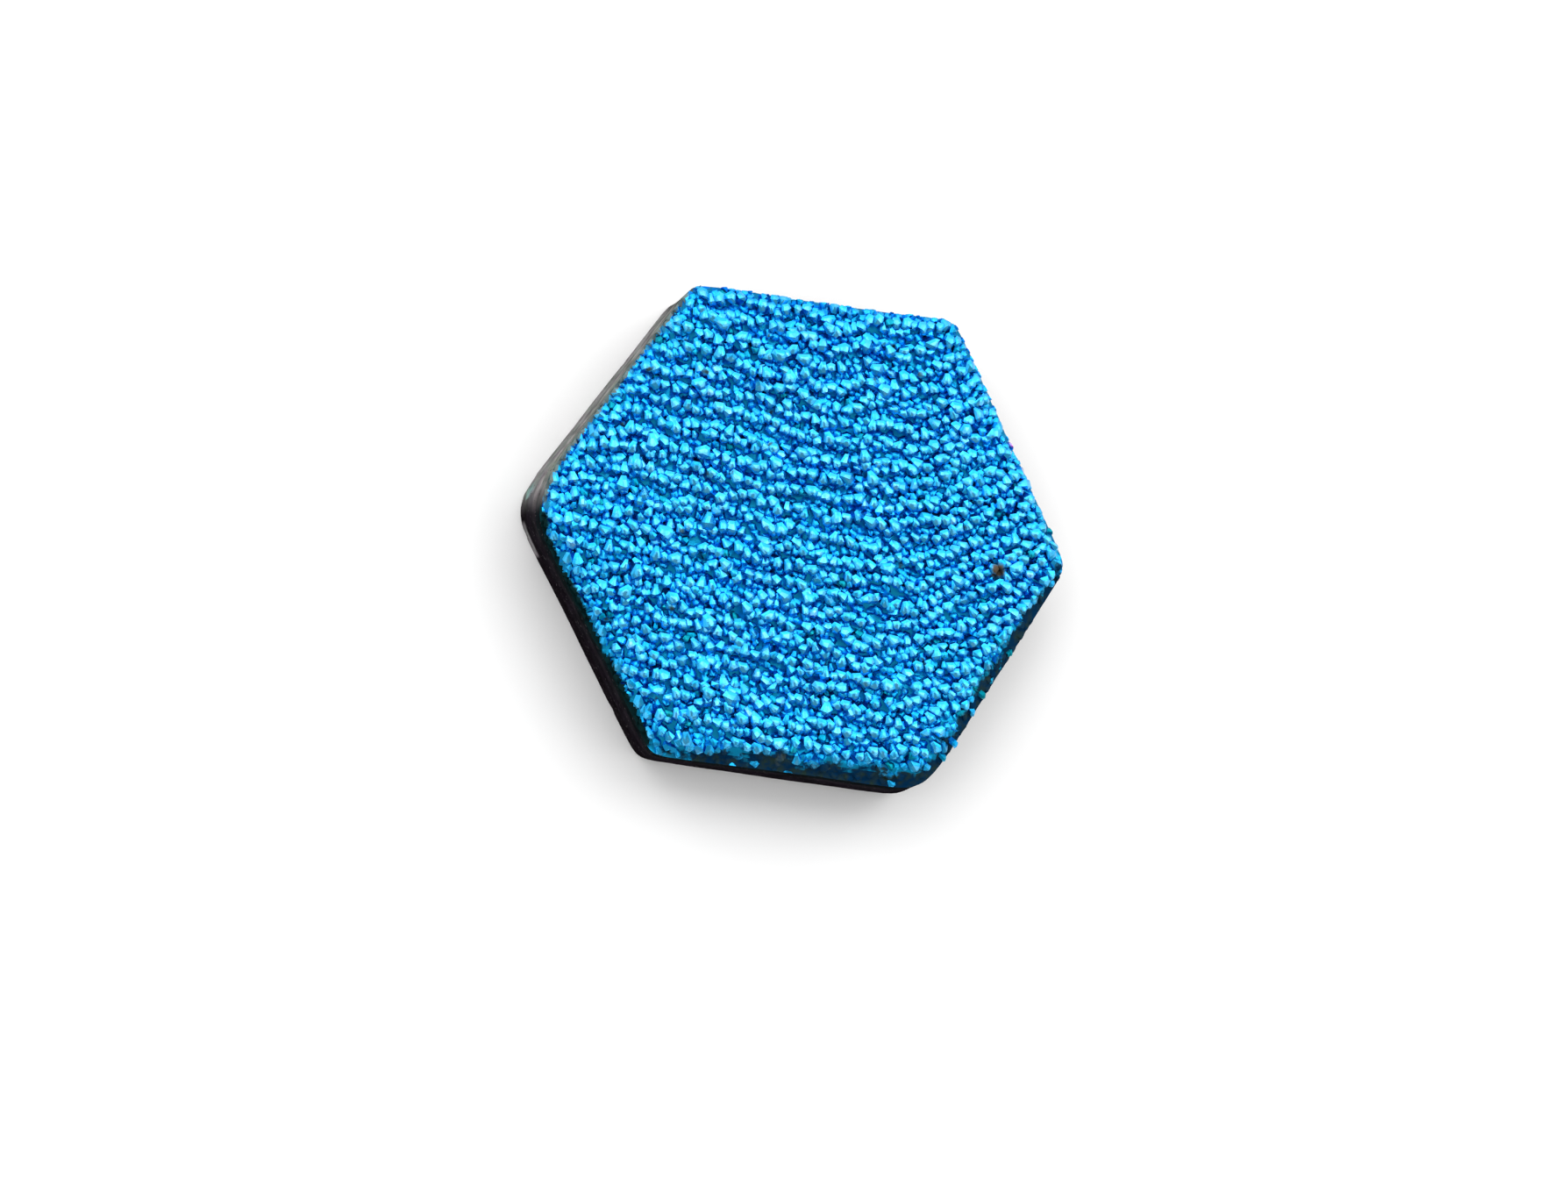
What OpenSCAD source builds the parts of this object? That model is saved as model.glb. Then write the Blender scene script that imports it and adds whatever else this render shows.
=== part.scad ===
// Hexagonal druzy cabochon: a small cut stone that keeps its natural face of fine quartz crystals.
// The stone lies on its flat back with the crystal face up, and its layers are stacked along +Z.

/* [Outline] */
// Distance across the flats of the hexagon
across_flats = 14; // [10:0.5:18]
// Sharpness of the corners, where a higher number gives a smaller rounding
corner_sharpness = 56; // [30:2:80]

/* [Layers] */
// Thickness of the host rock, which is the straight girdle of the stone
host_h = 1.15; // [0.8:0.05:1.4]
// Thickness of the dark agate band
dark_band_h = 0.5; // [0.35:0.05:0.7]
// Thickness of the pale agate band
pale_band_h = 0.35; // [0.25:0.05:0.5]
// Thickness of the crystal crust, up to the mean level of the face
crust_h = 0.75; // [0.6:0.05:1]

/* [Crystals] */
// Height of an ordinary crystal point above the mean level of the face
point_h = 0.26; // [0.16:0.02:0.34]
// Share of the places for a proud crystal that have one
proud_share = 0.24; // [0.1:0.02:0.5]
// Height of a proud crystal's prism
proud_h = 0.22; // [0.16:0.02:0.3]
// Reach of the crystals that stick out of the rim
rim_reach = 0.05; // [0.03:0.01:0.2]
// Number that picks one growth of crystals out of many
growth = 7; // [1:1:40]

/* [Hidden] */

// The ground flats of the girdle and of the crystal face: the way each one faces, and its distance from
// the axis as a share of half the width. The last two take off the left corner and the lower right one.
GIRDLE_FLATS = [
    [32, 0.98], [92, 0.965], [150, 1.015], [215, 0.99], [270, 1.01], [334, 1.03],
    [181, 1.15], [304, 1.19]
];
FACE_FLATS = [
    [34, 1.005], [91.5, 1.005], [151, 1.01], [215, 0.975], [271, 0.98], [335, 1.035],
    [180, 1.105], [305, 1.17]
];

// Rings of the crystal lattice from the middle to the rim, where every third point is a crystal's tip
RINGS = 33;
RIM_N = 6 * RINGS;
LATTICE_N = 3 * RINGS * (RINGS + 1) + 1;
LATTICE_STEP = across_flats / (2 * RINGS * cos(30));
// Steps along the lattice towards its six corners, and back to the first
DIRS = [[1, 0], [0, 1], [-1, 1], [-1, 0], [0, -1], [1, -1], [1, 0]];
// How far a lattice point strays from its place, as a share of the step between points
STRAY = 0.3;

// Rise and fall of the face and of the agate's bands
SWELL = 0.09;
BAND_WAVE = 0.06;
// How far the face rolls down at its rim, and how late the roll starts
ROLL_OFF = 0.16;
ROLL_POWER = 10;
// Depth of the hollows, how much a tip's height varies either way, and how much lower it is on the rim
HOLLOW = 0.1;
TIP_SPREAD = 0.45;
RIM_TIP_SHARE = 0.5;

// First and last ring with proud crystals, how far their prisms taper in, and the height of their tips
PROUD_FROM = 2;
PROUD_TO = RINGS - 4;
PROUD_TAPER = 0.12;
PROUD_TIP = 0.24;
// First and last angle of the rim where crystals stick out, the share of places there that have one, and
// the height of the tip on the wall behind it
RIM_FROM = 292;
RIM_TO = 346;
RIM_SHARE = 0.75;
RIM_TIP_AT = 0.72;

band_z = [host_h, host_h + dark_band_h, host_h + dark_band_h + pale_band_h];
face_z = band_z[2] + crust_h;
chance = [for (i = [0:3]) rands(0, 1, LATTICE_N, growth * 10 + i)];

function dir(a) = [cos(a), sin(a)];
function total(list) = list * [for (v = list) 1];
function average(points) = [for (c = [0:2]) total([for (p = points) p[c]]) / len(points)];
function mix(p, q, f) = p * (1 - f) + q * f;
// A length that varies by 30% either way with a chance from 0 to 1
function vary(length, luck) = length * (0.7 + 0.6 * luck);

// Distance from the axis to the wall in the direction a, with the flats meeting in rounded corners
function wall_r(a, flats) =
    let (reach = [for (f = flats) max(cos(a - f[0]), 0) / (f[1] * across_flats / 2)])
    pow(total([for (r = reach) pow(r, corner_sharpness)]), -1 / corner_sharpness);

// The lattice is a hexagon of triangles. Its points are numbered ring by ring from the middle, and each
// has a place: its ring, the side of the hexagon, and the steps along that side.
places = concat([[0, 0, 0]], [for (k = [1:RINGS], side = [0:5], t = [0:k - 1]) [k, side, t]]);
function id(k, j) = k == 0 ? 0 : 1 + 3 * k * (k - 1) + j % (6 * k);
function side_angle(side, f) = let (p = mix(dir(60 * side), dir(60 * side + 60), f)) atan2(p[1], p[0]);
function steps(n) = let (p = places[n]) (p[0] - p[2]) * DIRS[p[1]] + p[2] * DIRS[p[1] + 1];
function is_tip(n) = let (s = steps(n)) (s[0] - s[1]) % 3 == 0;
// Places for a proud crystal are three steps apart, so that no two of them touch
function is_proud(n) =
    let (k = places[n][0], s = steps(n))
    k >= PROUD_FROM && k <= PROUD_TO && s[0] % 3 == 0 && s[1] % 3 == 0 && chance[3][n] < proud_share;

// Gentle rise and fall over the stone, from about -1.5 to 1.5
function swell(p) = sin(47 * p[0] + 20) * cos(38 * p[1] - 15) + 0.5 * sin(95 * p[1] + 40 * p[0]);

rim_angles = [for (side = [0:5], t = [0:RINGS - 1]) side_angle(side, t / RINGS)];
girdle = [for (a = rim_angles) wall_r(a, GIRDLE_FLATS) * dir(a)];
face_rim = [for (a = rim_angles) wall_r(a, FACE_FLATS) * dir(a)];

// The stone stands on the middle of its own outline
outline = concat(girdle, face_rim);
middle = [for (c = [0:1]) (min([for (p = outline) p[c]]) + max([for (p = outline) p[c]])) / 2];
module centred() translate([-middle[0], -middle[1], 0]) children();

// A point of the side wall, which leans from the girdle's outline to the face's
function wall_point(i, z) =
    let (xy = mix(girdle[i], face_rim[i], (z - host_h) / (face_z - host_h))) [xy[0], xy[1], z];
// The edge round the top of a layer: it is level on the host rock, and wavy on the agate
function band_edge(level) =
    let (wave = level == 0 ? 0 : BAND_WAVE)
    [for (i = [0:RIM_N - 1]) wall_point(i, band_z[level] + wave * swell(girdle[i] * (1 + level)))];

// Height of a lattice point over the mean level of the face
function growth_h(n) =
    let (tip_h = point_h * (1 + TIP_SPREAD * (2 * chance[2][n] - 1)))
    is_proud(n) ? -HOLLOW / 2
        : is_tip(n) ? tip_h * (places[n][0] == RINGS ? RIM_TIP_SHARE : 1)
        : -HOLLOW * chance[2][n];
function crust_point(n) =
    let (
        p = places[n],
        out = p[0] / RINGS,
        a = p[0] == 0 ? 0 : side_angle(p[1], p[2] / p[0]),
        stray = p[0] == RINGS ? 0 : STRAY * LATTICE_STEP,
        xy = out * wall_r(a, FACE_FLATS) * dir(a) + stray * [2 * chance[0][n] - 1, 2 * chance[1][n] - 1]
    )
    [xy[0], xy[1], face_z + SWELL * swell(xy) + growth_h(n) - ROLL_OFF * pow(out, ROLL_POWER)];
crust_points = [for (n = [0:LATTICE_N - 1]) crust_point(n)];

// Triangles of the lattice: at each place, one that points inwards, and one that points outwards
lattice_faces = [
    for (k = [1:RINGS], side = [0:5], t = [0:k - 1])
        let (inner = side * (k - 1) + t, outer = side * k + t)
        each concat(
            [[id(k - 1, inner), id(k, outer + 1), id(k, outer)]],
            t == k - 1 ? [] : [[id(k - 1, inner), id(k - 1, inner + 1), id(k, outer + 1)]]
        )
];

// A fan that closes an edge of RIM_N points, from the point number hub
function fan(hub, first, up) = [
    for (i = [0:RIM_N - 1]) let (j = (i + 1) % RIM_N, edge = up ? [j, i] : [i, j])
        [hub, first + edge[0], first + edge[1]]
];
// Two triangles for each step of a wall between a lower and an upper edge of RIM_N points
function wall(lower, upper) = [
    for (i = [0:RIM_N - 1]) let (j = (i + 1) % RIM_N)
        each [[lower + i, upper + i, upper + j], [lower + i, upper + j, lower + j]]
];

// A slice of the stone between two edges
module slice(lower, upper) {
    points = concat(lower, upper, [average(lower), average(upper)]);
    faces = concat(fan(2 * RIM_N, 0, false), fan(2 * RIM_N + 1, RIM_N, true), wall(0, RIM_N));
    polyhedron(points, faces);
}

module host_rock() {
    color("#2b2b2e") centred() linear_extrude(host_h) polygon(girdle);
}

module dark_agate() {
    color("#3c3b3d") centred() slice(band_edge(0), band_edge(1));
}

module pale_agate() {
    color("#84857f") centred() slice(band_edge(1), band_edge(2));
}

// The grown-together quartz, whose top is the lattice of crystal points
module quartz_crust() {
    lower = band_edge(2);
    points = concat(crust_points, lower, [average(lower)]);
    side_faces = wall(LATTICE_N, id(RINGS, 0));
    faces = concat(lattice_faces, side_faces, fan(LATTICE_N + RIM_N, LATTICE_N, false));
    color("#1680c8") centred() polyhedron(points, faces);
}

// The six hollows round the crystal at a lattice point, in order
function around(n) =
    let (
        p = places[n], k = p[0], t = p[2],
        j = p[1] * k + t,
        inner = p[1] * (k - 1) + t,
        outer = p[1] * (k + 1) + t,
        before = id(k, j + 6 * k - 1),
        after = id(k, j + 1)
    )
    concat(
        t == 0 ? [] : [id(k - 1, inner - 1)],
        [id(k - 1, inner), after, id(k + 1, outer + 1), id(k + 1, outer)],
        t == 0 ? [id(k + 1, outer + 6 * k + 5)] : [],
        [before]
    );

// One proud crystal, seated on the crust between its six hollows: a tapering prism with a pointed end
module proud_crystal(n) {
    seat = [for (m = around(n)) crust_points[m]];
    heart = crust_points[n];
    shoulder = [
        for (i = [0:5]) let (xy = mix(seat[i], heart, PROUD_TAPER))
            [xy[0], xy[1], heart[2] + vary(proud_h, chance[(i + 1) % 3][n])]
    ];
    tip = average(shoulder) + [0, 0, vary(PROUD_TIP, chance[2][n])];
    sides = [
        for (i = [0:5]) let (j = (i + 1) % 6)
            each [[12, i, j], [i, 6 + i, 6 + j], [i, 6 + j, j], [13, 6 + j, 6 + i]]
    ];
    polyhedron(concat(seat, shoulder, [heart, tip]), sides);
}

module proud_points() {
    color("#3fb6ee") centred() for (n = [0:LATTICE_N - 1]) if (is_proud(n)) proud_crystal(n);
}

// A crystal that sticks out of the rim has four sides, and stands on one step of the crust's wall
module rim_crystal(i) {
    j = i + 1;
    lower = band_edge(2);
    corners = [lower[i], lower[j], crust_points[id(RINGS, j)], crust_points[id(RINGS, i)]];
    foot = average(corners);
    reach = vary(rim_reach, chance[1][i]) * dir(rim_angles[i]);
    tip = [foot[0] + reach[0], foot[1] + reach[1], mix(corners[0], corners[3], RIM_TIP_AT)[2]];
    faces = [[0, 3, 2], [0, 2, 1], [0, 1, 4], [1, 2, 4], [2, 3, 4], [3, 0, 4]];
    polyhedron(concat(corners, [tip]), faces);
}

// Only every second step of the rim may have one, so that no two of them touch
module rim_points() {
    color("#5fd0f5") centred() for (i = [0:2:RIM_N - 2]) {
        a = (rim_angles[i] + 360) % 360;
        if (a > RIM_FROM && a < RIM_TO && chance[3][i] < RIM_SHARE) rim_crystal(i);
    }
}

host_rock();
dark_agate();
pale_agate();
quartz_crust();
proud_points();
rim_points();
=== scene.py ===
"""Looks of a hexagonal druzy cabochon: a cut stone whose face is a crust of fine coated quartz crystals.

The crust is grown crystal by crystal, joined into one solid and cut off at the stone's ground sides. The
rock and the agate under it share those sides. Shapes are worked out in millimetres, and each finished mesh
is turned into metres. Directions round the stone are in degrees from +X.
"""

import math
import random

import bpy
import numpy as np
from mathutils import Matrix, Quaternion, Vector, noise
from mathutils.kdtree import KDTree


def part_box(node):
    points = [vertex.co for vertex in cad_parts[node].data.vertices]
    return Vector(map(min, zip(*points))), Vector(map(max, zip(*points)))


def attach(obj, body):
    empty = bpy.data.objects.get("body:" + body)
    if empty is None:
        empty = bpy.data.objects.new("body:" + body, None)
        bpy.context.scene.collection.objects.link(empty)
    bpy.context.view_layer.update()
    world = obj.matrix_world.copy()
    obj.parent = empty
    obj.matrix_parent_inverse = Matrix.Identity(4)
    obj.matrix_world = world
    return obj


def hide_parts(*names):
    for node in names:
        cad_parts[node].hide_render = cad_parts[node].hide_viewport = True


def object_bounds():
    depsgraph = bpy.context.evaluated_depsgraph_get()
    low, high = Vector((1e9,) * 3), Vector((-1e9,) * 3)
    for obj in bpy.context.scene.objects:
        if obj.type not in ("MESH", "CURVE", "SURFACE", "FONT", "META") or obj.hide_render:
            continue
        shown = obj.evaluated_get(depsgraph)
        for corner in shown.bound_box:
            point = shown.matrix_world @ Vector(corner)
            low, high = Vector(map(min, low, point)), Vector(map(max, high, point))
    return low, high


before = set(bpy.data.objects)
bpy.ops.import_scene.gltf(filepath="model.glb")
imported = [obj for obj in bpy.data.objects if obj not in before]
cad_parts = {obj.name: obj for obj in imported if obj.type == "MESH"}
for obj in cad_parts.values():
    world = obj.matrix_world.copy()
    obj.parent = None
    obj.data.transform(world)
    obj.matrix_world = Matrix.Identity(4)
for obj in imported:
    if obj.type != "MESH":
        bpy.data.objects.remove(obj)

CAD_BOX = [list(corner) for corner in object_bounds()]
MM = 0.001
SEED = 11

# The photograph's view: the way the camera leans from straight above, how far it leans, the direction round
# the stone that is up in the picture, and where the stone lies in the picture, right and up of its middle
CAMERA_FROM = 198
CAMERA_LEAN = 12
PICTURE_UP = 98.1
CAMERA_DISTANCE = 128.6
CAMERA_LENS = 100
STONE_RIGHT = 0.36
STONE_UP = 1.5

# The floor's width and how far it is below the stone, the light from all round, the direction of the main
# panel of light, and every panel's distance in metres
FLOOR_WIDTH = 1800
FLOOR_GAP = 0.02
STUDIO_LIGHT = 0.53
KEY_FROM = PICTURE_UP - 8
PANEL_DISTANCE = 0.5

# Smallest gap between the middles, radius, tint and random places tried, first for the ordinary crystals and
# then for the small ones that fill the gaps between them
CRYSTAL_GAP = 0.23
CRYSTAL_R = (0.125, 0.16)
CRYSTAL_TINT = (0.1, 1)
CRYSTAL_TRIES = 40000
SMALL_GAP = 0.18
SMALL_R = (0.095, 0.12)
SMALL_TINT = (0, 1)
SMALL_TRIES = 30000
# How far outside the face's outline a crystal's middle may be, and the share of the places that stay empty
# where the rim is bare
FACE_MARGIN = 0.12
RIM_LOSS = 0.85
# Height of these crystals' tips above the crust as a share of their radius, the share of it that wear takes
# away, and how far below the stone's top they end
CRYSTAL_H = (0.7, 1.2)
WORN_H = 0.4
HEADROOM = 0.03
# The large crystals: radius, length, tint and lean
LARGE_R = (0.155, 0.185)
LARGE_LENGTH = 0.95
LARGE_TINT = (0.3, 0.9)
LARGE_LEAN = 4.8
# The crystals at the rim: radius, length, tints, how far they stick out of the wall, and how far they rise
# for each millimetre outwards
RIM_R = (0.08, 0.11)
RIM_LENGTH = 0.6
RIM_TINTS = (0, 0.01, 0.05, 0.6)
RIM_REACH = 0.01
RIM_RISE = 0.6
# How much longer than wide a crystal is, the way its long side runs in the picture at the stone's left and
# right, the width between the two, and how far a single crystal strays from it
STRETCH = (0.1, 0.5)
LONG_WAY_LEFT = -68
LONG_WAY_RIGHT = -28
LONG_WAY_SPAN = 13
LONG_WAY_STRAY = 26
# The crystals run outwards instead on a rim of this width, from this far above the stone's middle
STREAKED_RIM = 0.55
STREAKED_FROM = 3
# Slopes of a crystal's end, round its tip and farther down, and how much of its width the first one takes
TIP_SLOPE = (28, 37)
LOW_SLOPE = (41, 49)
TIP_SHARE = 0.62
# How far a crystal's tip is from its middle, towards the picture's lower side, and how far it strays
TIP_SHIFT = 0.3
TIP_STRAY = 0.22
# How pale the coating is on a crystal's sides, and on the lower and the upper faces of its end: painted
# shade, darker down each crystal towards the hollows
SIDE_TONE = (0, 0.3)
LOW_TONE = (0.2, 0.6)
TIP_TONE = (0.6, 1)
# The crystals lean away from the picture's upper side, each by a random amount more or less
COMMON_LEAN = 14
CRYSTAL_LEAN = 8
# How deep the crystals reach into the crust
CRYSTAL_ROOT = 0.5
# How far out a crystal reaches at most, as a share of its radius, and how far two of them can lean together
CRYSTAL_WIDEST = 1.5
CRYSTAL_SWAY = 0.36
# Edges of the crystals gentler than this look smooth, and edges of the rock gentler than this
CRYSTAL_SMOOTH = 32
ROCK_SMOOTH = 18

# The grown-together quartz under the crystals: how far below them its top is, the share of that by which it
# rises where the rim is bare, its roughness, and the width of its raised border at the wall
SLAB_DEPTH = 0.19
SLAB_RISE = 0.85
SLAB_ROUGH = 0.05
SLAB_BORDER = 0.15
# Its tint and tone, low as painted shade between the crystals, and how much higher both are on the border
# at the picture's upper side, painted light where the light falls
SLAB_TINT = 0.07
SLAB_TONE = 0.15
BORDER_TINT = 0.6
BORDER_TONE = 0.8
# The distance between the points of its shape, and the margins round and under it that are cut off
SLAB_STEP = 0.125
SLAB_SKIRT = 0.25
SLAB_BELOW = 0.2
# How far above the stone the shape ends that cuts the crust off at the wall
CUT_ABOVE = 0.3

# Rise and fall of the crust, in waves that run across the picture: their height and length, how far they
# stray as a share of that length, how far they fall to the right for each millimetre, how fast they turn
# upwards right of a place, and the width of the rim where they fade
RIPPLE_H = 0.14
RIPPLE_LENGTH = 0.57
RIPPLE_STRAY = 0.7
RIPPLE_FALL = 0.2
RIPPLE_TURN = 0.2
RIPPLE_TURN_AT = 1.5
RIPPLE_FADE = 0.5
# Ordinary crystals stand only where the waves are above this, from -1 to 1
CREST = 0.2
# Painted shade: the share of its tone that the coating keeps half-way between hollow and crest, how much
# that rises or falls with the waves so that the hollows are painted darker, the least that is left, and the
# share that it keeps on the small crystals, painted darker as shade in the gaps between the others
MIDDLE_SHADE = 0.68
HOLLOW_SHADE = 0.55
LEAST_SHADE = 0.1
SMALL_SHADE = 0.55
# How far round a place the CAD's crust is evened out
LEVEL_REACH = 0.8
# How far the crust rolls down at its rim, the share of that which is left at the picture's upper side, and
# the width of the roll
ROLL_OFF = 0.3
ROLL_UPPER = 0.45
ROLL_WIDTH = 0.28

# The direction in which the face's rim is worn down and its coating painted dark as painted shade, the
# cosine of the angle from it at which wear starts, how much more than that the cosine is where wear is full,
# and how wide the worn and shaded rim is
WORN_AND_SHADED_SIDE = 305
WORN_FROM = 0.4
WORN_FULL = 0.3
WORN_AND_SHADED_WIDTH = 0.95
# Crystals with a tint above this keep their coating there, free of the rim's wear and painted shade
KEPT_COAT = 0.82
# Two more stretches of rim where the coating is painted over in a dull, darker colour, painted shade:
# direction, width and colour
PAINTED_SHADE_RIMS = [(151, 0.15, (0.14, 0.19, 0.19)), (212, 0.26, (0.004, 0.019, 0.02))]
# An uncoated speck and a painted magenta glint on the face, and a pale patch on the ground left corner:
# middle, radius, and how many times as tall as wide
SPECK = ((5.94, -0.1, 2.95), 0.24, 5)
MAGENTA_GLINT = ((5.98, 3.74, 2.95), 0.22, 4)
CORNER_PATCH = ((-7.85, 0.22, 0.9), 0.3, 1.6)
# The directions of the pale stripe at that corner's foot and of the side painted pale grey, painted light
# where the light falls on it
CORNER_STRIPE = 188.5
PAINTED_LIGHT_SIDE = 153

# The ground sides: points round the stone, height of a step up the wall, the bevel round the back, the rise
# and fall of the layers' edges, and the wall's rough distance from the axis
WALL_POINTS = 432
WALL_STEP = 0.15
BEVEL = 0.1
BAND_WAVE = 0.06
WALL_R = 7.5

# A broken place's depth, length and height, and how far outside the wall its middle is, for each millimetre
# of its width
CHIP_SHAPE = (0.5, 1, 0.75)
CHIP_OUTSIDE = 0.22
# Broken places in the ground edges: direction, height and width
CHIPS = [
    (306.5, 2.85, 0.3), (312, 2.95, 0.5), (321.5, 2.95, 0.45), (333, 2.95, 0.3),
    (349, 2.95, 0.25), (283, 2.85, 0.3), (18, 0.0, 0.35),
    (97, 0.02, 0.3), (141, 0.0, 0.22), (176, 0.05, 0.4), (187, 0.0, 0.25), (232, 0.0, 0.3), (262, 0.02, 0.4),
    (299, 0.0, 0.45), (341, 0.03, 0.3),
]


def direction(angle):
    """The level direction at an angle round the stone."""
    return Vector((math.cos(math.radians(angle)), math.sin(math.radians(angle)), 0))


def mm_points(node):
    """The corners of a CAD node, in millimetres."""
    return np.array([v.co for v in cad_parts[node].data.vertices], float) / MM


def heights(node):
    """The lowest and highest point of a CAD node, in millimetres."""
    low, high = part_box(node)
    return low.z / MM, high.z / MM


def polar(points):
    """The angle in radians and the distance from the axis of each point."""
    return np.arctan2(points[:, 1], points[:, 0]), np.hypot(points[:, 0], points[:, 1])


# The stone's outlines and layers, as the CAD has them
CRUST = mm_points("quartz_crust")
GIRDLE_TOP = heights("host_rock")[1]
DARK_TOP = (heights("dark_agate")[1] + heights("pale_agate")[0]) / 2
PALE_TOP = (heights("pale_agate")[1] + heights("quartz_crust")[0]) / 2
# The crust's underside is nowhere higher than this above the pale agate, and its top is nowhere lower
CRUST_TOP = CRUST[CRUST[:, 2] > PALE_TOP + 0.35]
FACE_Z = float(np.median(CRUST_TOP[:, 2]))
STONE_TOP = CAD_BOX[1][2] / MM


def outline(points):
    """Angles and distances of an outline's points, in order round the axis."""
    angles, radii = polar(points)
    order = np.argsort(angles)
    return angles[order], radii[order]


def face_outline(directions):
    """The crystal face's outline: the farthest point of the crust in each of the girdle's directions."""
    angles, radii = polar(CRUST_TOP)
    window = math.radians(0.4)
    found = []
    for angle in directions:
        gap = np.abs((angles - angle + math.pi) % (2 * math.pi) - math.pi)
        near = np.flatnonzero(gap < window)
        found.append(CRUST_TOP[near[np.argmax(radii[near])]])
    return outline(np.array(found))


GIRDLE = outline(np.unique(mm_points("host_rock").round(3)[:, :2], axis=0))
FACE = face_outline(GIRDLE[0])


def side_waves(angle, z):
    """How far hand grinding has taken the wall inwards: slow waves along it, and faint level steps up it."""
    along = WALL_R * angle
    slow = 0.5 + 0.5 * noise.noise(Vector((0.45 * along, 0.5 * z, 3.7)))
    steps = 0.5 + 0.5 * noise.noise(Vector((0.35 * along, 9 * z, 8.1)))
    rough = 0.5 + 0.5 * noise.noise(Vector((6 * along, 6 * z, 1.3)))
    return 0.05 * slow + 0.012 * steps + 0.01 * rough


def wall_radius(angle, z):
    """Distance from the axis to the ground wall, at an angle in radians and a height."""
    share = min(max((z - GIRDLE_TOP) / (FACE_Z - GIRDLE_TOP), 0), 1)
    girdle = np.interp(angle, *GIRDLE, period=2 * math.pi)
    face = np.interp(angle, *FACE, period=2 * math.pi)
    return (1 - share) * girdle + share * face - side_waves(angle, z) - max(BEVEL - z, 0)


def new_piece(name, points, faces, **face_values):
    """A mesh object in millimetres, with one number on each face for each of face_values."""
    mesh = bpy.data.meshes.new(name)
    mesh.from_pydata([tuple(p) for p in points], [], faces)
    for key, values in face_values.items():
        attribute = mesh.attributes.new(key, "FLOAT", "FACE")
        attribute.data.foreach_set("value", np.broadcast_to(values, len(faces)).astype(np.float32))
    piece = bpy.data.objects.new(name, mesh)
    bpy.context.scene.collection.objects.link(piece)
    return piece


def join_solids(piece, operation, tool):
    """Joins, cuts or trims piece by tool, which is then removed."""
    modifier = piece.modifiers.new(operation, "BOOLEAN")
    modifier.operation = operation
    modifier.solver = "MANIFOLD"
    modifier.object = tool
    evaluated = piece.evaluated_get(bpy.context.evaluated_depsgraph_get())
    mesh = bpy.data.meshes.new_from_object(evaluated)
    piece.modifiers.clear()
    piece.data = mesh
    bpy.data.objects.remove(tool)
    return piece


def finish_piece(piece, node, material, smooth_below=ROCK_SMOOTH):
    """Turns a piece into metres, smooths its gentle edges, and puts it in the place of a CAD node."""
    piece.data.transform(Matrix.Scale(MM, 4))
    piece.data.shade_smooth()
    piece.data.set_sharp_from_angle(angle=math.radians(smooth_below))
    piece.data.materials.clear()
    piece.data.materials.append(material)
    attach(piece, "root")
    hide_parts(node)


# ---- The layers of the stone ----

WALL_ANGLES = [2 * math.pi * i / WALL_POINTS for i in range(WALL_POINTS)]


def layer_edge(level):
    """Heights of the edge between two layers, at each point round the wall."""
    edge = []
    for angle in WALL_ANGLES:
        x, y = WALL_R * math.cos(angle), WALL_R * math.sin(angle)
        slow = noise.noise(Vector((0.35 * x, 0.35 * y, level)))
        fast = noise.noise(Vector((1.7 * x, 1.7 * y, level)))
        edge.append(level + BAND_WAVE * (slow + 0.35 * fast))
    return edge


def layer(name, low, high):
    """A slice of the stone between two edges, with its ground wall."""
    rows = max(1, round((sum(high) - sum(low)) / WALL_POINTS / WALL_STEP))
    shares = [row / rows for row in range(rows + 1)]
    if low[0] == 0:
        shares = [0, 0.5 * BEVEL / high[0], BEVEL / high[0]] + shares[1:]
    points = []
    for share in shares:
        for angle, bottom, top in zip(WALL_ANGLES, low, high):
            z = bottom + share * (top - bottom)
            r = wall_radius(angle, z)
            points.append((r * math.cos(angle), r * math.sin(angle), z))
    n = WALL_POINTS
    last = n * (len(shares) - 1)
    points += [(0, 0, sum(low) / n), (0, 0, sum(high) / n)]
    faces = []
    for i in range(n):
        j = (i + 1) % n
        faces += [(k + i, k + j, k + n + j, k + n + i) for k in range(0, last, n)]
        faces += [(len(points) - 2, j, i), (len(points) - 1, last + i, last + j)]
    return new_piece(name, points, faces, bare=1.0)


def chip(angle, z, width, luck):
    """A lumpy scoop for one broken place in an edge."""
    out = direction(angle)
    r = wall_radius(math.radians(angle), z)
    bpy.ops.mesh.primitive_ico_sphere_add(subdivisions=3, radius=1)
    tool = bpy.context.object
    shift = Vector((luck.uniform(0, 50), 0, 0))
    for vertex in tool.data.vertices:
        lumps = 0.28 * noise.noise(1.3 * vertex.co + shift)
        grains = 0.06 * noise.noise(5 * vertex.co + shift)
        vertex.co *= 1 + lumps + grains
    turn = out.to_track_quat("X", "Z").to_matrix().to_4x4()
    size = Matrix.Diagonal([width * share for share in CHIP_SHAPE] + [1])
    middle = Matrix.Translation(out * (r + CHIP_OUTSIDE * width) + Vector((0, 0, z)))
    tool.data.transform(middle @ turn @ size)
    attribute = tool.data.attributes.new("bare", "FLOAT", "FACE")
    attribute.data.foreach_set("value", np.full(len(tool.data.polygons), 0.6, np.float32))
    return tool


def break_edges(piece, low, high):
    """Takes the chips that lie between two heights out of a piece."""
    for number, (angle, z, width) in enumerate(CHIPS):
        if low - width < z < high + width:
            join_solids(piece, "DIFFERENCE", chip(angle, z, width, random.Random(SEED + number)))
    return piece


# ---- The crystals ----

LEVELS = KDTree(len(CRUST_TOP))
for number, point in enumerate(CRUST_TOP):
    LEVELS.insert((point[0], point[1], 0), number)
LEVELS.balance()
UP = direction(PICTURE_UP)
ACROSS = direction(PICTURE_UP - 90)


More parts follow.
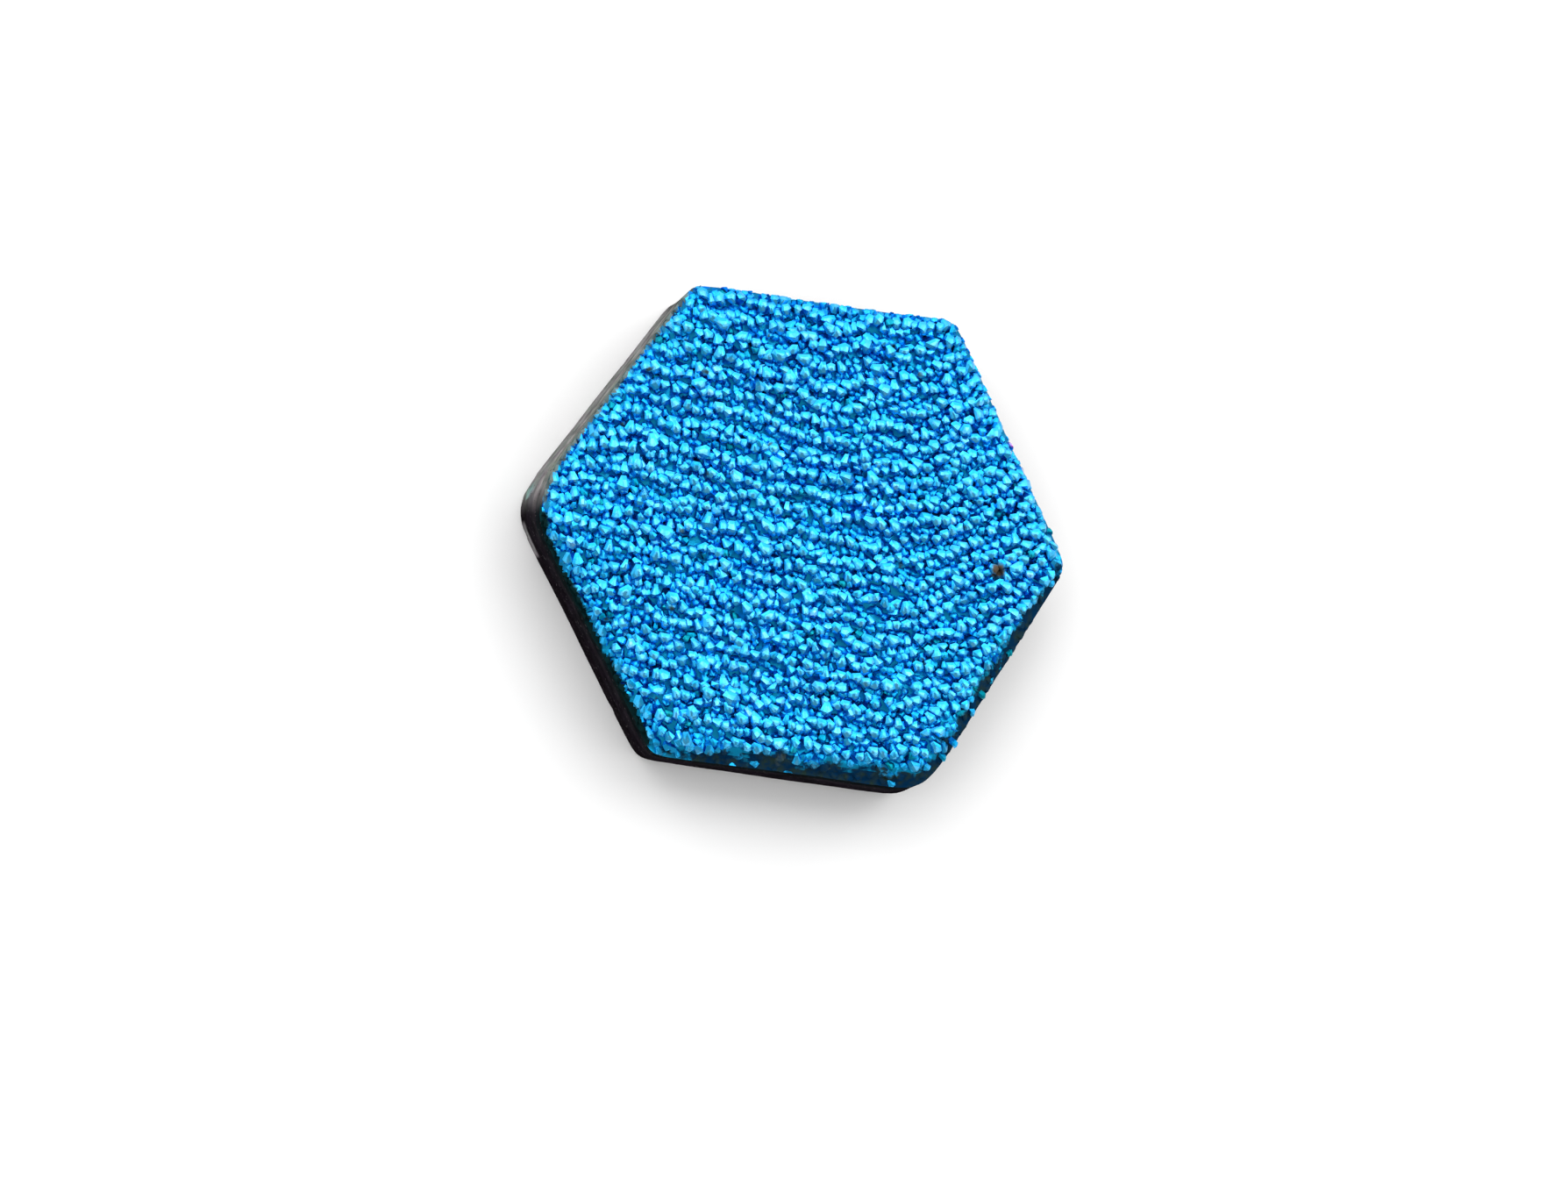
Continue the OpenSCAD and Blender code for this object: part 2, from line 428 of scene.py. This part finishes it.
def ripple(x, y):
    """The waves of the crust at a place: 1 on a crest and -1 in a hollow, and less where the waves fade."""
    across, up = ACROSS.x * x + ACROSS.y * y, UP.x * x + UP.y * y
    stray = RIPPLE_STRAY * noise.noise(Vector((0.7 * across, 0.7 * up, 5)))
    fall = RIPPLE_FALL * across - 0.5 * RIPPLE_TURN * max(across - RIPPLE_TURN_AT, 0) ** 2
    turns = (up + fall) / RIPPLE_LENGTH + stray
    strength = 0.8 + 0.6 * noise.noise(Vector((across, up, 2)))
    fade = min(rim_distance(x, y) / RIPPLE_FADE, 1)
    return math.sin(2 * math.pi * turns) * strength * fade


def rim_distance(x, y):
    """How far a place on the face is from the wall, towards the middle."""
    return max(wall_radius(math.atan2(y, x), FACE_Z) - math.hypot(x, y), 0)


def crust_level(x, y):
    """Height of the crust without its waves: the CAD's crust, evened out, with a rolled rim."""
    near = [CRUST_TOP[n][2] for _, n, _ in LEVELS.find_range((x, y, 0), LEVEL_REACH)]
    level = sum(near) / len(near) if near else FACE_Z
    lower = 0.5 - 0.5 * math.cos(math.atan2(y, x) - math.radians(PICTURE_UP))
    roll = ROLL_OFF * (ROLL_UPPER + (1 - ROLL_UPPER) * lower)
    return level - roll * math.exp(-((rim_distance(x, y) / ROLL_WIDTH) ** 2))


def crust_normal(x, y, step=0.12):
    """The way the crust faces, apart from its waves."""
    dx = crust_level(x + step, y) - crust_level(x - step, y)
    dy = crust_level(x, y + step) - crust_level(x, y - step)
    return Vector((-dx, -dy, 2 * step)).normalized()


def growth_axis(x, y):
    """The way the crystals grow at a place, before each one's own lean."""
    return Quaternion(ACROSS, math.radians(COMMON_LEAN)) @ crust_normal(x, y)


def long_way(x, y, luck):
    """The direction in radians of a crystal's long side.

    It is steep at the picture's left and flatter at its right, and points outwards at the upper rim.
    """
    stray = luck.gauss(0, LONG_WAY_STRAY)
    if UP.x * x + UP.y * y > STREAKED_FROM and rim_distance(x, y) < STREAKED_RIM:
        return math.atan2(y, x) + math.radians(0.5 * stray)
    share = min(max(0.5 + (ACROSS.x * x + ACROSS.y * y) / LONG_WAY_SPAN, 0), 1)
    way = LONG_WAY_LEFT + share * (LONG_WAY_RIGHT - LONG_WAY_LEFT) + stray
    return math.radians(way + PICTURE_UP - 90)


def border(x, y):
    """The raised, nearly smooth border of the crust: 1 at the wall, fading inwards."""
    return math.exp(-(rim_distance(x, y) / SLAB_BORDER) ** 2)


def wear(x, y):
    """How far the crystals are worn down at a place: up to 1 at the picture's lower and lower right rim."""
    turned = math.cos(math.atan2(y, x) - math.radians(WORN_AND_SHADED_SIDE))
    side = min(max((turned - WORN_FROM) / WORN_FULL, 0), 1)
    near = 1 - rim_distance(x, y) / WORN_AND_SHADED_WIDTH
    patches = 0.8 * noise.noise(Vector((1.3 * x, 1.3 * y, 12)))
    return side * min(max(1.4 * near + patches, 0), 1)


# How much gentler the edges of a six-sided point are than its faces
EDGE_SLOPE = math.cos(math.radians(30))


def crystal(tip, axis, spin, radius, length, luck):
    """A six-sided prism with an uneven pointed end: its points and faces, and the tone of each face."""
    # The sides' distances from the axis and the ways they face, and the corners where they meet
    reach = [radius * (1.05 if i % 2 else 0.9) * luck.uniform(0.9, 1.1) for i in range(6)]
    ways = [math.radians(60 * i) for i in range(6)]
    longer = 1 + luck.uniform(*STRETCH)
    corners = []
    for i in range(6):
        a, b, p, q = ways[i], ways[(i + 1) % 6], reach[i], reach[(i + 1) % 6]
        x = (p * math.sin(b) - q * math.sin(a)) / math.sin(b - a)
        y = (q * math.cos(a) - p * math.cos(b)) / math.sin(b - a)
        corners.append(Vector((longer * x, y, 0)))
    stray = Vector((luck.uniform(-TIP_STRAY, TIP_STRAY), luck.uniform(-TIP_STRAY, TIP_STRAY), 0))
    off = (stray - TIP_SHIFT * (Quaternion((0, 0, 1), -spin) @ UP)) * radius
    tip_slope = EDGE_SLOPE * math.tan(math.radians(luck.uniform(*TIP_SLOPE)))
    low_slope = EDGE_SLOPE * math.tan(math.radians(luck.uniform(*LOW_SLOPE)))
    roots, shoulders, bends = [], [], []
    for corner in corners:
        out = corner - off
        drop = TIP_SHARE * tip_slope * out.length * luck.uniform(0.94, 1.06)
        roots.append(Vector((out.x, out.y, -length)))
        bends.append(Vector((TIP_SHARE * out.x, TIP_SHARE * out.y, -drop)))
        shoulders.append(Vector((out.x, out.y, -drop - (1 - TIP_SHARE) * low_slope * out.length)))
    turn = Vector((0, 0, 1)).rotation_difference(axis) @ Quaternion((0, 0, 1), spin)
    # The points are three rings of six and the tip, and the faces are the foot and three rings of six
    points = [turn @ p + tip for p in roots + shoulders + bends + [Vector((0, 0, 0))]]
    faces = [(5, 4, 3, 2, 1, 0)]
    for ring in (0, 6):
        faces += [(ring + i, ring + (i + 1) % 6, ring + 6 + (i + 1) % 6, ring + 6 + i) for i in range(6)]
    faces += [(12 + i, 12 + (i + 1) % 6, 18) for i in range(6)]
    # Tones rise from the sides to the tip: painted shade that darkens the coating down each crystal
    tones = [0] + [luck.uniform(*limits) for limits in (SIDE_TONE, LOW_TONE, TIP_TONE) for _ in range(6)]
    return points, faces, tones


def lean(axis, degrees, luck):
    """The axis, leant by a random amount in a random direction."""
    amount = math.radians(min(abs(luck.gauss(0, degrees)), 2.4 * degrees))
    side = axis.orthogonal().normalized()
    side.rotate(Quaternion(axis, luck.uniform(0, 2 * math.pi)))
    return Quaternion(side, amount) @ axis


def scatter(gap, sizes, taken, tries, luck, lowest=-2):
    """Random places on the face that keep a gap from each other and from the places taken: x, y and radius.

    Where the crust's waves are below the lowest value, no place is used, and few are where the rim is bare.
    """
    cell = 0.5
    grid = {}
    for x, y, _ in taken:
        grid.setdefault((int(x // cell), int(y // cell)), []).append((x, y))
    found = []
    edge = max(FACE[1])
    for _ in range(tries):
        x, y = luck.uniform(-edge, edge), luck.uniform(-edge, edge)
        limit = np.interp(math.atan2(y, x), *FACE, period=2 * math.pi) + FACE_MARGIN
        loss = RIM_LOSS * max(wear(x, y), border(x, y))
        if math.hypot(x, y) > limit or ripple(x, y) < lowest or luck.random() < loss:
            continue
        i, j = int(x // cell), int(y // cell)
        close = [p for a in (i - 1, i, i + 1) for b in (j - 1, j, j + 1) for p in grid.get((a, b), [])]
        if any((other_x - x) ** 2 + (other_y - y) ** 2 < gap ** 2 for other_x, other_y in close):
            continue
        found.append((x, y, luck.uniform(*sizes)))
        grid.setdefault((i, j), []).append((x, y))
    return found


def groups_apart(places):
    """Splits the crystals into groups in which no two can touch."""
    grid, groups = {}, []
    for number, (x, y, r) in enumerate(places):
        i, j = math.floor(x), math.floor(y)
        used = set()
        for a in range(i - 2, i + 3):
            for b in range(j - 2, j + 3):
                for other, group in grid.get((a, b), []):
                    ox, oy, other_r = places[other]
                    if math.hypot(ox - x, oy - y) < CRYSTAL_WIDEST * (r + other_r) + CRYSTAL_SWAY:
                        used.add(group)
        group = next(g for g in range(len(groups) + 1) if g not in used)
        if group == len(groups):
            groups.append([])
        groups[group].append(number)
        grid.setdefault((i, j), []).append((number, group))
    return groups


def ordinary_crystal(x, y, radius, paleness, luck):
    """One crystal of the crust, standing on it with a random lean."""
    axis = lean(growth_axis(x, y), CRYSTAL_LEAN, luck)
    wave = ripple(x, y)
    height = radius * luck.uniform(*CRYSTAL_H) * (1 - WORN_H * wear(x, y))
    tip = Vector((x, y, crust_level(x, y) + RIPPLE_H * wave)) + axis * height
    tip.z = min(tip.z, STONE_TOP - HEADROOM)
    points, faces, tones = crystal(tip, axis, long_way(x, y, luck), radius, height + CRYSTAL_ROOT, luck)
    # Painted shade: the coating is darker in the crust's hollows and on the small crystals in the gaps
    shade = paleness * min(max(MIDDLE_SHADE + HOLLOW_SHADE * wave, LEAST_SHADE), 1)
    return points, faces, [tone * shade for tone in tones]


def solid_of(name, crystals):
    """One piece of several crystals that don't touch."""
    points, faces, tone, tint = [], [], [], []
    for its_points, its_faces, its_tones, its_tint in crystals:
        first = len(points)
        points += its_points
        faces += [tuple(first + k for k in face) for face in its_faces]
        tone += its_tones
        tint += [its_tint] * len(its_faces)
    return new_piece(name, points, faces, tone=tone, tint=tint, bare=0.0)


def grow_crust():
    """The whole crust: crystals on a rough slab, joined into one solid and cut off at the wall."""
    luck = random.Random(SEED)
    ordinary = scatter(CRYSTAL_GAP, CRYSTAL_R, [], CRYSTAL_TRIES, luck, CREST)
    places = ordinary + scatter(SMALL_GAP, SMALL_R, ordinary, SMALL_TRIES, luck)
    parts = []
    for group in groups_apart(places):
        crystals = []
        for number in group:
            own = random.Random(SEED * 100000 + number)
            small = number >= len(ordinary)
            grown = ordinary_crystal(*places[number], SMALL_SHADE if small else 1, own)
            crystals.append((*grown, own.uniform(*(SMALL_TINT if small else CRYSTAL_TINT))))
        parts.append(solid_of("crystals", crystals))
    while len(parts) > 1:
        joined = [join_solids(a, "UNION", b) for a, b in zip(parts[0::2], parts[1::2])]
        parts = joined + (parts[-1:] if len(parts) % 2 else [])
    crust = join_solids(parts[0], "UNION", crust_slab())
    outside = layer("crust_outline", layer_edge(PALE_TOP), [STONE_TOP + CUT_ABOVE] * WALL_POINTS)
    join_solids(crust, "INTERSECT", outside)
    crust.name = "crystal_crust"
    return break_edges(crust, PALE_TOP, STONE_TOP)


def crust_slab():
    """The grown-together quartz under the crystals, with an uneven top and a margin to be cut off."""
    steps = round(2 * (max(FACE[1]) + SLAB_SKIRT) / SLAB_STEP)
    top, bottom, painted_border_light = [], [], []
    for i in range(steps + 1):
        for j in range(steps + 1):
            x, y = (i - steps / 2) * SLAB_STEP, (j - steps / 2) * SLAB_STEP
            rough = SLAB_ROUGH * noise.noise(Vector((3 * x, 3 * y, 0)))
            depth = SLAB_DEPTH * (1 - SLAB_RISE * max(border(x, y), wear(x, y)))
            top.append((x, y, crust_level(x, y) - depth + rough))
            bottom.append((x, y, PALE_TOP - SLAB_BELOW))
            # Painted light: the border is painted paler on the picture's upper side, where the light falls
            upper = min(max(1.5 * (UP.x * x + UP.y * y) / math.hypot(x, y, 0.1) + 0.4, 0), 1)
            painted_border_light.append(upper * border(x, y))
    row, count = steps + 1, len(top)
    faces, tone, tint = [], [], []
    for i in range(steps):
        for j in range(steps):
            a = i * row + j
            faces.append((a, a + row, a + row + 1, a + 1))
            faces.append((count + a, count + a + 1, count + a + row + 1, count + a + row))
            # The slab's low tone is painted shade between the crystals
            tint += [SLAB_TINT + BORDER_TINT * painted_border_light[a]] * 2
            tone += [SLAB_TONE + BORDER_TONE * painted_border_light[a]] * 2
    rim = [j for j in range(steps)] + [i * row + steps for i in range(steps)]
    rim += [steps * row + steps - j for j in range(steps)] + [(steps - i) * row for i in range(steps)]
    for a, b in zip(rim, rim[1:] + rim[:1]):
        faces.append((a, b, count + b, count + a))
        tone.append(0)
        tint.append(0)
    return new_piece("slab", top + bottom, faces, tone=tone, tint=tint, bare=0.0)


def cad_tips(node, apart, reach):
    """The tips of a CAD node's crystals: the points that reach farthest and keep apart from each other."""
    tips = []
    for point in sorted((Vector(p) for p in mm_points(node)), key=reach, reverse=True):
        if all((point - tip).to_2d().length > apart for tip in tips):
            tips.append(point)
    return tips


def grow_large_crystals():
    """The large crystals, each with its tip at that of a proud crystal of the CAD."""
    crystals = []
    for number, tip in enumerate(cad_tips("proud_points", apart=0.45, reach=lambda point: point.z)):
        luck = random.Random(SEED * 1000 + number)
        axis = lean(growth_axis(tip.x, tip.y), LARGE_LEAN, luck)
        spin = long_way(tip.x, tip.y, luck)
        grown = crystal(tip, axis, spin, luck.uniform(*LARGE_R), LARGE_LENGTH, luck)
        crystals.append((*grown, luck.uniform(*LARGE_TINT)))
    return solid_of("large_crystals", crystals)


def grow_rim_crystals():
    """The crystals at the rim, each where a rim crystal of the CAD is, with its tip just out of the wall."""
    tips = cad_tips("rim_points", apart=0.5, reach=lambda point: point.to_2d().length)
    crystals = []
    for number, point in enumerate(tips):
        luck = random.Random(SEED * 2000 + number)
        angle = math.atan2(point.y, point.x)
        level = direction(math.degrees(angle)) * (wall_radius(angle, point.z) + RIM_REACH)
        tip = level + Vector((0, 0, point.z))
        axis = lean((level.normalized() + Vector((0, 0, RIM_RISE))).normalized(), CRYSTAL_LEAN, luck)
        spin = luck.uniform(0, 2 * math.pi)
        points, faces, tones = crystal(tip, axis, spin, luck.uniform(*RIM_R), RIM_LENGTH, luck)
        paleness = luck.uniform(0, 1)
        crystals.append((points, faces, [tone * paleness for tone in tones], luck.choice(RIM_TINTS)))
    return solid_of("rim_crystals", crystals)


def mark_rim(piece):
    """Gives each face of a piece how near the wall it is, 1 at the wall, for the material's worn rims and
    their painted shade.
    """
    values = [math.exp(-rim_distance(face.center.x, face.center.y)) for face in piece.data.polygons]
    piece.data.attributes.new("rim", "FLOAT", "FACE").data.foreach_set("value", values)
    return piece


# ---- Materials ----


def add(tree, kind, inputs=None, **settings):
    """Adds a node. An input is a number, a colour or another node's output."""
    node = tree.nodes.new("ShaderNode" + kind)
    for key, value in settings.items():
        setattr(node, key, value)
    for key, value in (inputs or {}).items():
        if isinstance(value, bpy.types.NodeSocket):
            tree.links.new(value, node.inputs[key])
        else:
            node.inputs[key].default_value = value
    return node


def mix(tree, factor, a, b):
    """The colour between two colours."""
    return add(tree, "Mix", {0: factor, 6: a, 7: b}, data_type="RGBA").outputs[2]


def multiply(tree, a, b):
    """One colour times another."""
    colour = mix(tree, 1.0, a, b)
    colour.node.blend_type = "MULTIPLY"
    return colour


def blend(tree, factor, a, b):
    """The number between two numbers."""
    return add(tree, "Mix", {0: factor, 2: a, 3: b}, data_type="FLOAT").outputs[0]


def calc(tree, operation, *values, **settings):
    """A sum, product or the like of numbers."""
    return add(tree, "Math", dict(enumerate(values)), operation=operation, **settings).outputs[0]


def ramp(tree, value, *stops):
    """A colour that changes with a value through stops of (value, colour)."""
    node = add(tree, "ValToRGB", {0: value})
    elements = node.color_ramp.elements
    for stop in stops[2:]:
        elements.new(stop[0])
    for element, (at, colour) in zip(elements, stops):
        element.position = at
        element.color = (*colour, 1)
    return node.outputs[0]


def spread(tree, value, low, high):
    """A value from low to high, stretched to go from 0 to 1."""
    return add(tree, "MapRange", {0: value, 1: low, 2: high}, interpolation_type="SMOOTHSTEP").outputs[0]


def attribute(tree, name):
    """A number that each face of the mesh has."""
    return add(tree, "Attribute", attribute_name=name).outputs["Fac"]


def place(tree):
    """The place on the stone, in millimetres."""
    where = add(tree, "TexCoord").outputs["Object"]
    return add(tree, "VectorMath", {0: where, "Scale": 1 / MM}, operation="SCALE").outputs[0]


def height_of(tree, where):
    """The height of a place above the back."""
    return add(tree, "SeparateXYZ", {0: where}).outputs["Z"]


def grain(tree, where, scale, detail=3, stretch=None):
    """Noise, with scale in grains per millimetre."""
    if stretch:
        where = add(tree, "Mapping", {"Vector": where, "Scale": stretch}).outputs[0]
    return add(tree, "TexNoise", {"Vector": where, "Scale": scale, "Detail": detail}).outputs["Fac"]


def facing(tree, where, angle, low, high):
    """1 on the part of the stone that lies in a direction, fading to 0 away from it."""
    level = add(tree, "VectorMath", {0: where, 1: (1, 1, 0)}, operation="MULTIPLY").outputs[0]
    unit = add(tree, "VectorMath", {0: level}, operation="NORMALIZE").outputs[0]
    share = add(tree, "VectorMath", {0: unit, 1: direction(angle)}, operation="DOT_PRODUCT").outputs["Value"]
    return spread(tree, share, low, high)


def spot(tree, where, centre, radius, height):
    """1 round a place, fading to 0 at an uneven distance from it, and height times as tall as wide."""
    squash = (1, 1, 1 / height)
    flat = add(tree, "VectorMath", {0: where, 1: squash}, operation="MULTIPLY").outputs[0]
    middle = Vector(centre) * Vector(squash)
    away = add(tree, "VectorMath", {0: flat, 1: middle}, operation="DISTANCE").outputs["Value"]
    stray = calc(tree, "MULTIPLY_ADD", grain(tree, where, 6), radius, away)
    return spread(tree, stray, 1.7 * radius, radius)


def worn_and_shaded_rim(tree, where, angle, side_low, side_high, width):
    """1 where the coating is worn and painted over darker as painted shade, in patches along the face's rim in
    a direction.
    """
    side = facing(tree, where, angle, side_low, side_high)
    near = spread(tree, attribute(tree, "rim"), math.exp(-width), 0.97)
    edge = calc(tree, "MULTIPLY", side, near)
    return spread(tree, calc(tree, "MULTIPLY_ADD", edge, 0.5, grain(tree, where, 1.8)), 0.68, 0.84)


def bare_stone(tree, where, dark, pale):
    """Colour of a ground side: dark, painted pale grey as painted light on the picture's upper left, and a
    marked left corner.
    """
    # Painted light: the side turned to the picture's upper left is painted pale grey
    painted_light = calc(tree, "MULTIPLY", facing(tree, where, PAINTED_LIGHT_SIDE, 0.86, 0.92), 0.9)
    colour = mix(tree, painted_light, dark, pale)
    colour = mix(tree, spot(tree, where, *CORNER_PATCH), colour, (0.2, 0.3, 0.285, 1))
    low = spread(tree, height_of(tree, where), 0.8, 0.5)
    stripe = calc(tree, "MULTIPLY", facing(tree, where, CORNER_STRIPE, 0.9972, 0.9988), low)
    colour = mix(tree, stripe, colour, (0.2, 0.19, 0.195, 1))
    tinted = ramp(tree, grain(tree, where, 1.6, 2), (0.35, (0.95, 1.04, 0.98)), (0.65, (1.06, 0.96, 1.06)))
    mottled = ramp(tree, grain(tree, where, 2.2), (0.3, (0.55,) * 3), (0.7, (1.35,) * 3))
    colour = multiply(tree, multiply(tree, colour, tinted), mottled)
    specks = spread(tree, grain(tree, where, 9, 2), 0.64, 0.72)
    return mix(tree, specks, colour, (0.05, 0.045, 0.048, 1))


def scratches(tree, where, depth):
    """Bump of the level marks that grinding leaves on the sides, and of fine grain."""
    lines = grain(tree, where, 1, 4, (1.2, 1.2, 42))
    both = calc(tree, "ADD", lines, grain(tree, where, 16))
    return add(tree, "Bump", {"Strength": depth, "Distance": 0.02 * MM, "Height": both}).outputs[0]


def new_material(name, **constants):
    """A material, its node tree and its main shader, with that shader's constants set."""
    material = bpy.data.materials.new(name)
    material.use_nodes = True
    tree = material.node_tree
    shader = tree.nodes["Principled BSDF"]
    for key, value in constants.items():
        shader.inputs[key.replace("_", " ")].default_value = value
    return material, tree, shader


def set_inputs(tree, shader, **inputs):
    """Links other nodes' outputs to a shader's inputs."""
    for key, value in inputs.items():
        tree.links.new(value, shader.inputs[key.replace("_", " ")])


def coat_colour(tree, where, tone, tint):
    """Colour of the coating: by a crystal's tint, and deeper blue on the faces with a low tone as painted
    shade, with a painted magenta glint.
    """
    coat = ramp(
        tree, tint,
        (0.0, (0.02, 0.29, 0.3)), (0.05, (0.03, 0.37, 0.5)), (0.1, (0.085, 0.46, 0.76)),
        (0.6, (0.11, 0.5, 0.82)), (0.97, (0.135, 0.54, 0.86)), (1.0, (0.21, 0.5, 0.88)),
    )
    # Painted shade: faces with a low tone are painted a darker, deeper blue
    depth = ramp(tree, tone, (0.0, (0.04, 0.7, 0.92)), (0.5, (0.28, 0.84, 0.97)), (1.0, (1, 1, 1)))
    # A painted magenta glint at one spot on the face
    return mix(tree, spot(tree, where, *MAGENTA_GLINT), multiply(tree, coat, depth), (0.7, 0.03, 0.5, 1))


def ground_quartz(tree, where):
    """Colour of the crust's ground sides, with some coating that strayed over their upper edge."""
    # The pale colour is painted light on the side turned to the picture's upper left
    stone = bare_stone(tree, where, (0.006, 0.009, 0.01, 1), (0.17, 0.18, 0.165, 1))
    uneven = calc(tree, "ADD", grain(tree, where, 3), height_of(tree, where))
    strayed = spread(tree, uneven, FACE_Z + 0.15, FACE_Z + 0.65)
    return mix(tree, strayed, stone, (0.002, 0.045, 0.05, 1))


def worn_and_shaded_coat(tree, where, coat, tint):
    """The coating's colour with its worn places, rims painted dark as painted shade and a bare speck, and 1
    where the coating is gone and where it is painted over.
    """
    worn_and_shaded = worn_and_shaded_rim(tree, where, WORN_AND_SHADED_SIDE, 0.3, 0.7, WORN_AND_SHADED_WIDTH)
    worn_and_shaded = calc(tree, "MULTIPLY", worn_and_shaded, spread(tree, tint, KEPT_COAT, KEPT_COAT - 0.01))
    # The worn rim's coat is painted dark navy as painted shade, in patches with brown-teal wear
    shaded_worn_colour = ramp(tree, grain(tree, where, 4), (0.42, (0.002, 0.025, 0.07)), (0.7, (0.018, 0.038, 0.034)))
    coat = mix(tree, worn_and_shaded, coat, shaded_worn_colour)
    speck = spot(tree, where, *SPECK)
    coat = mix(tree, speck, coat, (0.1, 0.075, 0.05, 1))
    worn_and_shaded = calc(tree, "MAXIMUM", worn_and_shaded, speck)
    # Painted shade along two more stretches of the rim
    for angle, width, colour in PAINTED_SHADE_RIMS:
        rim = worn_and_shaded_rim(tree, where, angle, 0.84, 0.9, width)
        coat = mix(tree, rim, coat, (*colour, 1))
        worn_and_shaded = calc(tree, "MAXIMUM", worn_and_shaded, rim)
    return coat, worn_and_shaded


def coated_quartz():
    """Quartz under a blue metal coating, bare and dark where it was ground or broken."""
    material, tree, shader = new_material("coated_quartz", Specular_IOR_Level=0.0)
    where = place(tree)
    tone, tint, bare = (attribute(tree, name) for name in ("tone", "tint", "bare"))
    coat, worn_and_shaded = worn_and_shaded_coat(tree, where, coat_colour(tree, where, tone, tint), tint)
    plain = calc(tree, "MAXIMUM", bare, worn_and_shaded)
    rough = calc(tree, "MULTIPLY_ADD", tone, -0.14, 0.3)
    set_inputs(
        tree, shader, Base_Color=mix(tree, bare, coat, ground_quartz(tree, where)),
        Metallic=calc(tree, "SUBTRACT", 1.0, plain, use_clamp=True),
        Roughness=blend(tree, plain, rough, 0.6), Normal=scratches(tree, where, 0.25),
    )
    return material


def rock(name, dark, pale, roughness):
    """Ground rock or agate."""
    material, tree, shader = new_material(name, Specular_IOR_Level=0.0)
    where = place(tree)
    set_inputs(
        tree, shader, Base_Color=bare_stone(tree, where, (*dark, 1), (*pale, 1)),
        Roughness=calc(tree, "MULTIPLY_ADD", grain(tree, where, 6), 0.3, roughness - 0.15),
        Normal=scratches(tree, where, 0.5),
    )
    return material


# ---- The stone ----

quartz = coated_quartz()
# Each pale colour is painted light on the ground side turned to the picture's upper left
host_stone = rock("host_rock", (0.008, 0.006, 0.008), (0.2, 0.2, 0.195), 0.7)
dark_stone = rock("dark_agate", (0.01, 0.008, 0.011), (0.16, 0.165, 0.16), 0.6)
pale_stone = rock("pale_agate", (0.014, 0.012, 0.015), (0.24, 0.24, 0.225), 0.6)
back_edge = [0.0] * WALL_POINTS
girdle_edge = [GIRDLE_TOP] * WALL_POINTS
dark_edge = layer_edge(DARK_TOP)
pale_edge = layer_edge(PALE_TOP)

host = break_edges(layer("host_rock_body", back_edge, girdle_edge), 0, GIRDLE_TOP)
finish_piece(host, "host_rock", host_stone)
dark = break_edges(layer("dark_agate_band", girdle_edge, dark_edge), GIRDLE_TOP, DARK_TOP)
finish_piece(dark, "dark_agate", dark_stone)
pale = break_edges(layer("pale_agate_band", dark_edge, pale_edge), DARK_TOP, PALE_TOP)
finish_piece(pale, "pale_agate", pale_stone)
finish_piece(mark_rim(grow_crust()), "quartz_crust", quartz, CRYSTAL_SMOOTH)
finish_piece(mark_rim(grow_large_crystals()), "proud_points", quartz, CRYSTAL_SMOOTH)
finish_piece(grow_rim_crystals(), "rim_points", quartz, CRYSTAL_SMOOTH)


# ---- Floor, light and camera ----

half = FLOOR_WIDTH / 2
floor_corners = [(-half, -half, 0), (half, -half, 0), (half, half, 0), (-half, half, 0)]
floor = new_piece("floor", floor_corners, [(0, 1, 2, 3)])
floor.data.transform(Matrix.Scale(MM, 4))
floor.location.z = -FLOOR_GAP * MM
floor.data.materials.append(new_material("paper", Roughness=0.9, Base_Color=(0.97, 0.97, 0.97, 1))[0])

world = bpy.data.worlds.new("studio")
bpy.context.scene.world = world
world.use_nodes = True
world.node_tree.nodes["Background"].inputs["Color"].default_value = (1, 1, 1, 1)
world.node_tree.nodes["Background"].inputs["Strength"].default_value = STUDIO_LIGHT


def panel(name, angle, from_above, width, height, radiance):
    """A soft light of a size in metres that faces the stone, at an angle round it and one from above it."""
    light = bpy.data.lights.new(name, "AREA")
    light.shape = "RECTANGLE"
    light.size, light.size_y = width, height
    light.energy = radiance * math.pi * width * height
    lamp = bpy.data.objects.new(name, light)
    bpy.context.scene.collection.objects.link(lamp)
    tilt = math.radians(from_above)
    toward = direction(angle) * math.sin(tilt) + Vector((0, 0, math.cos(tilt)))
    lamp.location = toward * PANEL_DISTANCE
    lamp.rotation_euler = toward.to_track_quat("Z", "Y").to_euler()


panel("key", KEY_FROM, 52, 1.3, 0.7, 1.4)
for turn in (-72, 72):
    panel("side", KEY_FROM + turn, 55, 0.7, 0.65, 0.75)

camera_tilt = math.radians(CAMERA_LEAN)
toward = direction(CAMERA_FROM) * math.sin(camera_tilt) + Vector((0, 0, math.cos(camera_tilt)))
right = UP.cross(toward).normalized()
picture_up = toward.cross(right)
aim = Vector((0, 0, STONE_TOP / 2)) - right * STONE_RIGHT - picture_up * STONE_UP
camera = bpy.data.objects.new("camera", bpy.data.cameras.new("camera"))
camera.data.lens = CAMERA_LENS
camera.data.clip_start = 0.01
camera.matrix_world = Matrix.Translation((aim + toward * CAMERA_DISTANCE) * MM) @ Matrix(
    (right, picture_up, toward)).transposed().to_4x4()
bpy.context.scene.collection.objects.link(camera)
bpy.context.scene.camera = camera
bpy.context.scene.view_settings.view_transform = "Standard"
